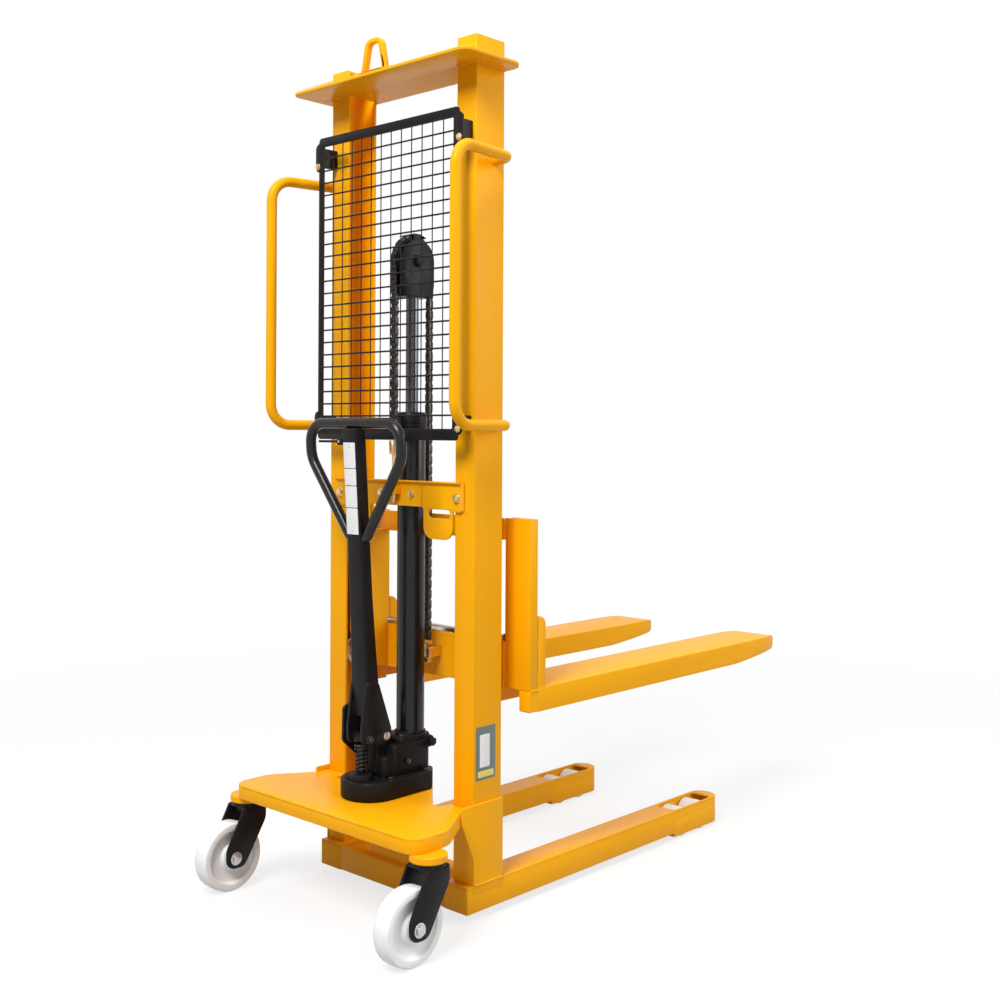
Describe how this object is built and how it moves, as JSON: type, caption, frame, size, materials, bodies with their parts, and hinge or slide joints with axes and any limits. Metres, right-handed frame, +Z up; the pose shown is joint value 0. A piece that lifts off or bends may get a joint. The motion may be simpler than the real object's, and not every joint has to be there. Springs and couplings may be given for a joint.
{
  "type": "walkie stacker",
  "caption": "Hand-pumped walkie stacker: two-channel mast on straddle legs, chain-lifted fork carriage, hydraulic ram, pump tiller, mesh guard, push handles and swivel castors",
  "frame": {"origin": "on the floor, under the middle of the outline: midway between the castors' rear edges and the fork tips, on the middle plane of the mast", "axes": "+Z up; +Y from the operator's deck towards the fork tips; +X to the machine's right seen from behind"},
  "size_m": [0.7058, 1.558, 1.9863],
  "materials": {
    "yellow_paint": "gloss powder coat",
    "black_paint": "semi-gloss enamel",
    "steel": "ground bright steel",
    "nylon": "turned nylon",
    "chain": "oiled leaf chain",
    "zinc": "yellow zinc plate"
  },
  "bodies": {
    "chassis": {"mast_channel_left": "yellow_paint", "mast_channel_right": "yellow_paint", "mast_top_plate": "yellow_paint", "lifting_eye": "yellow_paint", "mast_tie": "yellow_paint", "cylinder_clamp": "yellow_paint", "guard_frame": "black_paint", "guard_mesh": "black_paint", "push_handle_left": "yellow_paint", "push_handle_right": "yellow_paint", "deck_plate": "yellow_paint", "outrigger_leg_left": "yellow_paint", "outrigger_leg_right": "yellow_paint", "chassis_beam": "yellow_paint", "cylinder_tube": "black_paint", "cylinder_gland": "black_paint", "pump_block": "black_paint", "chain_anchor_rear": "zinc", "chain_rear": "chain", "pump_spring": "steel", "roller_pin_left_1": "steel", "roller_pin_left_2": "steel", "roller_pin_right_1": "steel", "roller_pin_right_2": "steel"},
    "crosshead": {"piston_rod": "steel", "crosshead_housing": "black_paint", "sheave_pin": "steel", "chain_over_sheave": "chain", "chain_front": "chain"},
    "sheave": {"chain_sheave": "black_paint"},
    "carriage": {"roller_plate_left": "yellow_paint", "roller_plate_right": "yellow_paint", "fork_upright_left": "yellow_paint", "fork_upright_right": "yellow_paint", "lower_cross_plate": "yellow_paint", "upper_cross_plate": "yellow_paint", "fork_left": "yellow_paint", "fork_right": "yellow_paint", "chain_anchor_front": "zinc"},
    "tiller": {"tiller_spine": "black_paint", "tiller_loop": "black_paint"},
    "plunger": {"pump_plunger": "steel"},
    "lever": {"release_lever": "steel"},
    "rod": {"release_rod": "steel"},
    "arm": {"release_arm": "black_paint"},
    "swivel_left": {"caster_fork_left": "black_paint", "caster_bolt_left": "steel"},
    "wheel_left": {"caster_wheel_left": "nylon"},
    "load_roller_left_1": {"load_roller_left_1": "nylon"},
    "load_roller_left_2": {"load_roller_left_2": "nylon"},
    "guide_left_low": {"guide_roller_left_low": "steel"},
    "guide_left_high": {"guide_roller_left_high": "steel"},
    "swivel_right": {"caster_fork_right": "black_paint", "caster_bolt_right": "steel"},
    "wheel_right": {"caster_wheel_right": "nylon"},
    "load_roller_right_1": {"load_roller_right_1": "nylon"},
    "load_roller_right_2": {"load_roller_right_2": "nylon"},
    "guide_right_low": {"guide_roller_right_low": "steel"},
    "guide_right_high": {"guide_roller_right_high": "steel"}
  },
  "joints": [
    {"name": "ram_lift", "type": "slide", "parent": "chassis", "child": "crosshead", "axis": [0, 0, 1], "range_m": [-0.2045, 0.345], "deforming": ["chain_rear"]},
    {"name": "carriage_lift", "type": "slide", "parent": "crosshead", "child": "carriage", "axis": [0, 0, 1], "range_m": [-0.2045, 0.345], "deforming": ["chain_front"]},
    {"name": "sheave_spin", "type": "hinge", "parent": "crosshead", "child": "sheave", "pos_m": [0, -0.404, 1.486], "axis": [1, 0, 0], "range_deg": [-225, 375]},
    {"name": "tiller_pump", "type": "hinge", "parent": "chassis", "child": "tiller", "pos_m": [0, -0.504, 0.385], "axis": [1, 0, 0], "range_deg": [0, 45]},
    {"name": "plunger_stroke", "type": "slide", "parent": "chassis", "child": "plunger", "axis": [0, 0, -1], "range_m": [0, 0.042], "deforming": ["pump_spring"]},
    {"name": "lever_squeeze", "type": "hinge", "parent": "tiller", "child": "lever", "pos_m": [-0.04, -0.58178, 1.06], "axis": [0, 1, 0], "range_deg": [0, 9], "stiffness_Nm_per_rad": 0.6},
    {"name": "rod_pull", "type": "slide", "parent": "tiller", "child": "rod", "axis": [0, -0.0647, 0.9979], "range_m": [0, 0.0024]},
    {"name": "arm_swing", "type": "hinge", "parent": "chassis", "child": "arm", "pos_m": [-0.056, -0.504, 0.335], "axis": [1, 0, 0], "range_deg": [0, 8.1]},
    {"name": "caster_swivel_left", "type": "hinge", "parent": "chassis", "child": "swivel_left", "pos_m": [-0.311, -0.644, 0.19], "axis": [0, 0, 1], "continuous": true},
    {"name": "caster_roll_left", "type": "hinge", "parent": "swivel_left", "child": "wheel_left", "pos_m": [-0.311, -0.699, 0.08], "axis": [1, 0, 0], "continuous": true},
    {"name": "load_roll_left_1", "type": "hinge", "parent": "chassis", "child": "load_roller_left_1", "pos_m": [-0.2135, 0.376, 0.037], "axis": [1, 0, 0], "continuous": true},
    {"name": "load_roll_left_2", "type": "hinge", "parent": "chassis", "child": "load_roller_left_2", "pos_m": [-0.2135, 0.462, 0.037], "axis": [1, 0, 0], "continuous": true},
    {"name": "guide_roll_left_low", "type": "hinge", "parent": "carriage", "child": "guide_left_low", "pos_m": [-0.21, -0.3995, 0.545], "axis": [1, 0, 0], "continuous": true},
    {"name": "guide_roll_left_high", "type": "hinge", "parent": "carriage", "child": "guide_left_high", "pos_m": [-0.21, -0.3995, 0.8], "axis": [1, 0, 0], "continuous": true},
    {"name": "caster_swivel_right", "type": "hinge", "parent": "chassis", "child": "swivel_right", "pos_m": [0.311, -0.644, 0.19], "axis": [0, 0, 1], "continuous": true},
    {"name": "caster_roll_right", "type": "hinge", "parent": "swivel_right", "child": "wheel_right", "pos_m": [0.311, -0.699, 0.08], "axis": [1, 0, 0], "continuous": true},
    {"name": "load_roll_right_1", "type": "hinge", "parent": "chassis", "child": "load_roller_right_1", "pos_m": [0.2135, 0.376, 0.037], "axis": [1, 0, 0], "continuous": true},
    {"name": "load_roll_right_2", "type": "hinge", "parent": "chassis", "child": "load_roller_right_2", "pos_m": [0.2135, 0.462, 0.037], "axis": [1, 0, 0], "continuous": true},
    {"name": "guide_roll_right_low", "type": "hinge", "parent": "carriage", "child": "guide_right_low", "pos_m": [0.21, -0.3995, 0.545], "axis": [1, 0, 0], "continuous": true},
    {"name": "guide_roll_right_high", "type": "hinge", "parent": "carriage", "child": "guide_right_high", "pos_m": [0.21, -0.3995, 0.8], "axis": [1, 0, 0], "continuous": true}
  ],
  "couplings": [
    {"joint": "carriage_lift", "follows": "ram_lift", "ratio": 1},
    {"joint": "sheave_spin", "follows": "ram_lift", "rad_per_m": 17.857},
    {"joint": "plunger_stroke", "follows": "tiller_pump", "m_per_rad": 0.052},
    {"joint": "rod_pull", "follows": "lever_squeeze", "m_per_rad": 0.015},
    {"joint": "arm_swing", "follows": "lever_squeeze", "ratio": 0.889}
  ]
}
